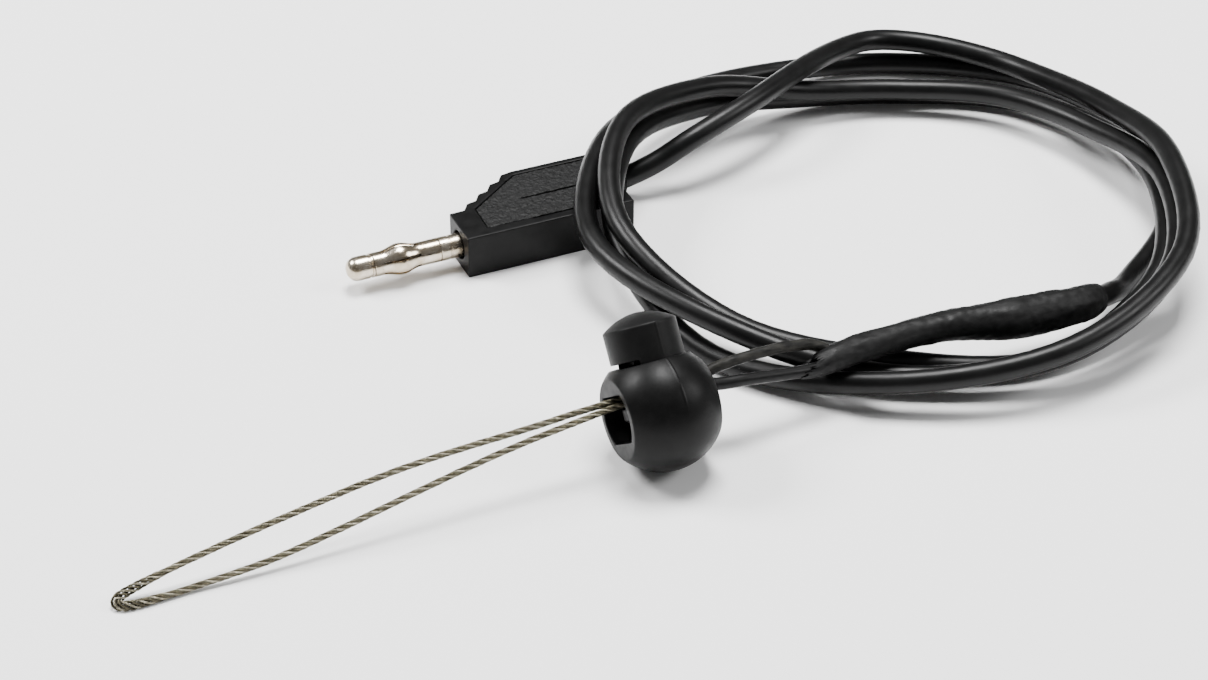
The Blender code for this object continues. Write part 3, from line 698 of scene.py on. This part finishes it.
def make_lock_body(finish):
    bm = bmesh.new()
    bmesh.ops.create_uvsphere(bm, u_segments=128, v_segments=80, radius=BALL_R)
    ball = bpy.data.meshes.new("ball")
    bm.to_mesh(ball)
    bm.free()
    far = 2 * BALL_R
    bore = [(BORE_FLOOR, 0), (BORE_FLOOR, BORE_R), (far, BORE_R), (far, 0)]
    pocket = [(POCKET_FLOOR, 0), (POCKET_FLOOR, POCKET_R), (0, POCKET_R), (0, 0)]
    cutters = [
        box_mesh("front", (-far, -far, -far), (-BALL_FACET, far, far)),
        box_mesh("rear", (BALL_FACET, -far, -far), (far, far, far)),
        box_mesh("top", (-far, -far, BALL_TOP), (far, far, far)),
        moved(turned("bore", bore), UP_FROM_X),
        moved(turned("pocket", pocket), UP_FROM_X),
        window_mesh(far),
    ]
    mesh = carved("lock_ball", ball, cutters, voxel=0.13 * MM, rounds=5)
    parting_line(mesh, -2.0 * MM, BALL_TOP)
    mesh = moved(mesh, LOCK_MATRIX)
    piece = link("lock_ball", mesh, "lock", finish, 60)
    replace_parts(piece, "lock_body")


def window_mesh(far):
    """A bar through the ball along X: a round hole with a flat roof and floor."""
    corner = math.asin(WINDOW_HALF_HEIGHT / WINDOW_R)
    outline = []
    steps = 24
    for middle in (0.0, math.pi):
        for k in range(steps + 1):
            turn = middle - corner + 2 * corner * k / steps
            outline.append((WINDOW_R * math.cos(turn), WINDOW_R * math.sin(turn)))
    axes = Matrix(((0, 0, 1), (1, 0, 0), (0, 1, 0))).to_4x4()
    return moved(extruded("window", outline, -far, far), axes)


def parting_line(mesh, low, high):
    """A fine raised mould line down the near side of a lock piece, fading at its low end."""
    for vert in mesh.vertices:
        away = abs(vert.co.x - PARTING_X) / (0.2 * MM)
        if away < 1 and vert.co.y < -3 * MM and low < vert.co.z < high:
            fade = min((vert.co.z - low) / (4 * MM), 1.0)
            vert.co.y -= 0.07 * MM * fade * (1 - away * away)


def make_button(finish):
    profile = [(BUTTON_FOOT, 0), (BUTTON_FOOT, BUTTON_R - 0.5 * MM)]
    profile += [(BUTTON_FOOT + 0.5 * MM, BUTTON_R), (BUTTON_SHOULDER - 0.2 * MM, BUTTON_R)]
    steps = 20
    for k in range(steps + 1):
        share = 1 - k / steps
        rise = BUTTON_SHOULDER + BUTTON_DOME * (1 - share * share)
        profile.append((rise, (BUTTON_R - 0.1 * MM) * share))
    far = 2 * BALL_R
    half = BUTTON_SLOT_WIDTH / 2
    cutters = [
        box_mesh("slot", (-far, -half, BUTTON_SLOT[0]), (far, half, BUTTON_SLOT[1])),
        box_mesh(
            "relief", (-far, -BUTTON_RELIEF_HALF_WIDTH, BALL_TOP - 0.1 * MM),
            (BUTTON_RELIEF_X, BUTTON_RELIEF_HALF_WIDTH, BUTTON_RELIEF_TOP),
        ),
        box_mesh(
            "flat", (BUTTON_FLAT, -far, BALL_TOP + 0.9 * MM),
            (far, far, BUTTON_SHOULDER - 0.3 * MM),
        ),
    ]
    stem = moved(turned("stem", profile), UP_FROM_X)
    mesh = carved("lock_plunger", stem, cutters, voxel=0.11 * MM, rounds=2)
    parting_line(mesh, BALL_TOP, BUTTON_SHOULDER)
    mesh = moved(mesh, LOCK_MATRIX)
    piece = link("lock_plunger", mesh, "button", finish, 60)
    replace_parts(piece, "lock_button")


def make_spring(finish):
    """The plunger's spring, closed at both ends."""
    foot = POCKET_FLOOR + SPRING_CLEARANCE + SPRING_WIRE_R
    head = BUTTON_FOOT - SPRING_CLEARANCE - SPRING_WIRE_R
    per_turn = SPRING_STEPS_PER_TURN
    count = round(SPRING_TURNS * per_turn)
    line = []
    for k in range(count + 1):
        turn = 2 * math.pi * k / per_turn
        share = min(max((k - per_turn) / (count - 2 * per_turn), 0.0), 1.0)
        closed = min(k / per_turn, 1.0) + max(k - count + per_turn, 0) / per_turn
        middle = (head - foot - 2 * CLOSED_TURN_RISE) * share
        height = foot + CLOSED_TURN_RISE * closed + middle
        line.append((SPRING_R * math.cos(turn), SPRING_R * math.sin(turn), height))
    mesh = mesh_from_rings("plunger_spring", tube_rings(np.array(line), SPRING_WIRE_R, 14))
    piece = link("plunger_spring", moved(mesh, LOCK_MATRIX), "lock", finish, 60)
    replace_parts(piece, "lock_spring")
    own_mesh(piece)


# Plug.

def housing_outline():
    outline = [(0.0, 0.0), (PLUG_LENGTH, 0.0), (PLUG_LENGTH, PLUG_WIDTH)]
    steps = 4
    start = Vector((2.6 * MM, PLUG_NOSE_WIDTH))
    end = Vector((13.8 * MM, PLUG_WIDTH))
    for k in range(steps, 0, -1):
        top = start.lerp(end, k / steps)
        foot = start.lerp(end, (k - 1) / steps)
        outline.append((top.x, top.y))
        outline.append((foot.x + 1.1 * MM, top.y - 0.35 * MM))
        outline.append((foot.x + 0.35 * MM, foot.y + 0.55 * MM))
    outline.append((start.x, PLUG_NOSE_WIDTH))
    outline.append((0.0, PLUG_NOSE_WIDTH))
    return outline


def panel_outline(inset=0.0):
    front = 4.2 * MM + inset
    near = 2.0 * MM + inset
    rear = PLUG_LENGTH - 2.2 * MM - inset
    far = PLUG_WIDTH - 1.2 * MM - inset
    return [
        (front, near), (rear, near), (rear, far), (14.0 * MM, far),
        (front + 0.2 * MM, PLUG_NOSE_WIDTH - 0.3 * MM - inset),
    ]


def make_housing(finish):
    far = 2 * PLUG_LENGTH
    cutters = [
        extruded("recess", panel_outline(), PANEL_FLOOR, 2 * PLUG_HEIGHT),
        box_mesh("cavity", (12.0 * MM, 1.7 * MM, 1.2 * MM), (20.4 * MM, 14.1 * MM, 2 * PLUG_HEIGHT)),
    ]
    for name, start, end, radius, y, z in (
        ("pin_bore", -5 * MM, 13 * MM, 2.45 * MM, PIN_Y, PIN_Z),
        ("socket_bore", 20 * MM, far, 2.55 * MM, PIN_Y, PIN_Z),
        ("cable_bore", 20 * MM, far, CABLE_R + 0.15 * MM, CABLE_Y, CABLE_Z),
    ):
        bar = turned(name, [(start, 0), (start, radius), (end, radius), (end, 0)])
        cutters.append(moved(bar, Matrix.Translation((0, y, z))))
    block = extruded("block", housing_outline(), 0.0, PLUG_HEIGHT)
    mesh = carved("plug_body", block, cutters, voxel=0.13 * MM, rounds=9)
    piece = link("plug_body", moved(mesh, PLUG_MATRIX), "lead", finish, 60)
    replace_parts(piece, "plug_housing")


def make_cover(finish):
    """The grained cover, with real grain on its top and a shallow slot."""
    low = PANEL_FLOOR + 0.1 * MM
    slab = extruded("slab", panel_outline(0.12 * MM), low, 7.38 * MM)
    slot = box_mesh("slot", (12.5 * MM, 8.0 * MM, 6.95 * MM), (25.0 * MM, 8.4 * MM, 2 * PLUG_HEIGHT))
    mesh = carved("plug_lid", slab, [slot], voxel=0.11 * MM, rounds=2)
    for vert in mesh.vertices:
        if vert.co.z < 7.15 * MM:
            continue
        spot = vert.co * 1400
        rise = noise.noise(spot) + 0.6 * noise.noise(spot * 2.1)
        vert.co.z += 0.11 * MM * max(rise, -0.6)
    piece = link("plug_lid", moved(mesh, PLUG_MATRIX), "lead", finish, 180)
    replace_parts(piece, "plug_cover")


def make_strain_relief(finish):
    start = PLUG_LENGTH + 0.15 * MM
    end = start + 3.0 * MM
    bore = CABLE_R + 0.15 * MM
    profile = [(start, bore), (start, 3.0 * MM), (start + 0.1 * MM, 3.1 * MM)]
    for k in range(5):
        x = start + 0.8 * MM + k * 0.45 * MM
        size = 3.1 * MM - k * 0.13 * MM
        profile += [(x, size), (x + 0.1 * MM, size - 0.16 * MM), (x + 0.25 * MM, size - 0.16 * MM)]
    profile += [(end - 0.1 * MM, 2.5 * MM), (end, 2.4 * MM), (end, bore)]
    mesh = turned("cable_boot", profile, 72)
    place = PLUG_MATRIX @ Matrix.Translation((0, CABLE_Y, CABLE_Z))
    piece = link("cable_boot", moved(mesh, place), "lead", finish, 30)
    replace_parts(piece, "strain_relief")


def make_pin(finish):
    """The turned pin: round nose, groove, neck for the cage, collar and shank."""
    tip = -PIN_REACH
    nose = 1.7 * MM
    steps = 16
    profile = [(tip, 0)]
    for k in range(1, steps + 1):
        turn = math.pi / 2 * k / steps
        across = 0.3 * MM + (PIN_R - 0.3 * MM) * math.sin(turn)
        profile.append((tip + nose * (1 - math.cos(turn)), across))
    groove = tip + 3.5 * MM
    profile += [(groove, PIN_R), (groove + 0.08 * MM, PIN_R - 0.15 * MM)]
    profile += [(groove + 0.42 * MM, PIN_R - 0.15 * MM), (groove + 0.5 * MM, PIN_R)]
    neck = (tip + 4.3 * MM, -3.6 * MM)
    profile += [(neck[0] - 0.08 * MM, PIN_R), (neck[0], PIN_R - 0.08 * MM), (neck[0], 1.25 * MM)]
    profile += [(neck[1], 1.25 * MM), (neck[1], PIN_R - 0.08 * MM), (neck[1] + 0.08 * MM, PIN_R)]
    profile += [(-2.1 * MM, PIN_R), (-2.0 * MM, PIN_R - 0.12 * MM), (-1.8 * MM, PIN_R - 0.12 * MM)]
    profile += [(-1.7 * MM, PIN_R), (3.2 * MM, PIN_R), (3.2 * MM, 1.5 * MM)]
    profile += [(17 * MM, 1.5 * MM), (17 * MM, 0)]
    mesh = moved(turned("turned_pin", profile), PIN_MATRIX)
    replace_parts(link("turned_pin", mesh, "lead", finish, 30), "pin_core")


def make_cage(finish):
    """The rolled lantern cage: two rings, and leaves that bow outwards between them."""
    start = -PIN_REACH + 4.4 * MM
    end = -3.7 * MM
    wall = 0.26 * MM
    ring = 1.5 * MM
    bow = 0.65 * MM
    low = start + ring
    high = end - 3.4 * MM
    leaves = 6
    around = 16
    steps = 36
    gap = math.radians(13)
    mesh = bmesh.new()
    for leaf in range(leaves):
        middle = 2 * math.pi * leaf / leaves
        rows = []
        for k in range(steps + 1):
            share = k / steps
            x = low - 0.4 * MM + (high - low + 0.8 * MM) * share
            rise = bow * math.sin(math.pi * min(max((x - low) / (high - low), 0), 1)) ** 2
            ease = min(share, 1 - share) * 14
            width = math.pi / leaves - gap / 2 * min(ease, 1.0)
            row = []
            for layer in (PIN_R + rise, PIN_R + rise - wall):
                angles = [middle + width * (2 * n / around - 1) for n in range(around + 1)]
                angles = angles if layer > PIN_R + rise - wall / 2 else angles[::-1]
                for a in angles:
                    row.append(mesh.verts.new((x, layer * math.cos(a), layer * math.sin(a))))
            rows.append(row)
        for first, second in zip(rows, rows[1:]):
            for n in range(len(first)):
                after = (n + 1) % len(first)
                mesh.faces.new((first[n], first[after], second[after], second[n]))
        mesh.faces.new(rows[0])
        mesh.faces.new(rows[-1])
    bmesh.ops.recalc_face_normals(mesh, faces=mesh.faces)
    data = bpy.data.meshes.new("cage_leaves")
    mesh.to_mesh(data)
    mesh.free()
    leaf_piece = link("cage_leaves", moved(data, PIN_MATRIX), "cage", finish, 35)
    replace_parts(leaf_piece, "spring_cage")
    edge = 0.06 * MM
    for name, a, b in (("cage_front_ring", start, low), ("cage_rear_ring", high, end)):
        profile = [(a, PIN_R - wall), (a, PIN_R - edge), (a + edge, PIN_R), (b - edge, PIN_R)]
        profile += [(b, PIN_R - edge), (b, PIN_R - wall)]
        band = moved(turned(name, profile), PIN_MATRIX)
        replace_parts(link(name, band, "cage", finish, 35), "spring_cage")


# Pieces that only show when something else is taken away keep their solids, with real finishes.

def dress(node, finish):
    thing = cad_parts[node]
    thing.data.materials.clear()
    thing.data.materials.append(finish)


def make_bands():
    """Colour bands of a one megohm resistor."""
    middle = smooth_line(in_metres(SPLICE_ROUTE), 12)
    ends = [min(middle, key=lambda p: abs(p.x - x * MM)) for x in (63.2, 68.9)]
    colours = (
        ("band_first", (0.16, 0.07, 0.03)), ("band_second", (0.02, 0.02, 0.02)),
        ("band_third", (0.03, 0.2, 0.06)), ("band_last", (0.5, 0.36, 0.12)),
    )
    for (name, colour), share in zip(colours, (0.22, 0.4, 0.58, 0.82)):
        first = ends[0].lerp(ends[1], share - 0.04)
        second = ends[0].lerp(ends[1], share + 0.04)
        line = np.array([tuple(first), tuple(first.lerp(second, 0.5)), tuple(second)])
        rings = tube_rings(line, 1.16 * MM, 40)
        link(name, mesh_from_rings(name, rings), "lead", band_paint(name, colour))


# Studio.

def make_studio():
    floor = bpy.data.meshes.new("floor")
    reach = 3.0
    corners = [(-reach, -reach, 0), (reach, -reach, 0), (reach, reach, 0), (-reach, reach, 0)]
    floor.from_pydata(corners, [], [(0, 1, 2, 3)])
    paper = Finish("studio_paper", (0.92, 0.92, 0.92), 0.9)
    floor.materials.append(paper.material)
    sheet = bpy.data.objects.new("floor", floor)
    bpy.context.collection.objects.link(sheet)
    for name, place, size, watts in (
        ("key", (-0.55, 0.55, 0.75), 0.35, 15.0),
        ("top", (0.2, 0.25, 1.2), 0.5, 34.0),
        ("fill", (0.75, -0.35, 0.6), 0.35, 5.0),
    ):
        data = bpy.data.lights.new(name, "AREA")
        data.energy = watts
        data.size = size
        lamp = bpy.data.objects.new(name, data)
        lamp.location = place
        aim = LAMP_TARGET - lamp.location
        lamp.rotation_euler = aim.to_track_quat("-Z", "Y").to_euler()
        bpy.context.collection.objects.link(lamp)
    world = bpy.context.scene.world
    if not world:
        world = bpy.data.worlds.new("studio")
    bpy.context.scene.world = world
    world.use_nodes = True
    world.node_tree.nodes["Background"].inputs["Color"].default_value = (1, 1, 1, 1)
    world.node_tree.nodes["Background"].inputs["Strength"].default_value = WORLD_STRENGTH


def make_camera():
    data = bpy.data.cameras.new("camera")
    data.lens = CAMERA_LENS
    data.sensor_width = 36.0
    data.clip_start = 0.01
    camera = bpy.data.objects.new("camera", data)
    camera.location = CAMERA_PLACE
    camera.rotation_euler = (CAMERA_TARGET - CAMERA_PLACE).to_track_quat("-Z", "Y").to_euler()
    bpy.context.collection.objects.link(camera)
    bpy.context.scene.camera = camera


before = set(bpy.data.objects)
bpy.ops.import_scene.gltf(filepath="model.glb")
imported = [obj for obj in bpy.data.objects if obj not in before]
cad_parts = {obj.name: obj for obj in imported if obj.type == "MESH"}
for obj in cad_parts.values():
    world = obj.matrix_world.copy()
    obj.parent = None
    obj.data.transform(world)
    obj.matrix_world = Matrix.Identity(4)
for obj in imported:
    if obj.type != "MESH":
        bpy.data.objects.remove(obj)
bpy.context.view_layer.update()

make_camera()
make_studio()

jacket = cable_jacket()
nickel = plated_nickel()
plug_black = plug_plastic()
brass = plain_metal("turned_brass", (0.55, 0.4, 0.18), (0.8, 0.62, 0.32), 0.22, 0.4)
copper = plain_metal("bare_copper_wire", (0.6, 0.3, 0.18), (0.85, 0.5, 0.34), 0.25, 0.42)
tin = plain_metal("dull_tin", (0.5, 0.5, 0.48), (0.72, 0.71, 0.68), 0.28, 0.45)
spring = plain_metal("spring_wire", (0.35, 0.35, 0.35), (0.6, 0.6, 0.6), 0.2, 0.36)

cable, cable_line = make_cable(jacket)
make_rope(
    (
        rope_wire("rope_wire_bright", (0.17, 0.155, 0.11), (0.38, 0.35, 0.27)),
        rope_wire("rope_wire_dull", (0.045, 0.04, 0.026), (0.14, 0.125, 0.085)),
    ),
    rope_wire("rope_wire_core", (0.015, 0.013, 0.01), (0.04, 0.035, 0.025)),
)
make_leg_sleeves(
    heat_shrink("shrink_frosty", (0.020, 0.019, 0.016), 0.05 * MM),
    heat_shrink("shrink_smooth", (0.005, 0.005, 0.005), 0.012 * MM, 0.34, 0.5),
)
make_splice(
    heat_shrink("shrink_splice", (0.007, 0.007, 0.007), 0.05 * MM),
    heat_shrink("shrink_collar", (0.008, 0.008, 0.008), 0.06 * MM),
)
make_lock_body(lock_plastic("lock_ball_plastic", 0.34, 0.46, (0.002, 0.002, 0.002)))
make_button(lock_plastic("lock_button_plastic", 0.40, 0.52, (0.003, 0.003, 0.003)))
make_spring(spring)
make_housing(plug_black)
make_cover(grained_plastic())
make_strain_relief(plug_black)
make_pin(nickel)
make_cage(plated_nickel("cage_plating", 0.14, 0.26))
make_bands()
for node, finish in (
    ("rope_ferrule", brass), ("cable_ferrule", brass),
    ("resistor_sleeve", heat_shrink("shrink_inner", (0.02, 0.02, 0.02), 0.02 * MM)),
    ("resistor_lead_rope_side", tin), ("resistor_lead_cable_side", tin),
    ("safety_resistor", resistor_coat()), ("cable_core_splice", copper),
    ("cable_core_plug", copper), ("contact_block", brass), ("clamp_screw", spring),
    ("stacking_socket", nickel),
):
    dress(node, finish)
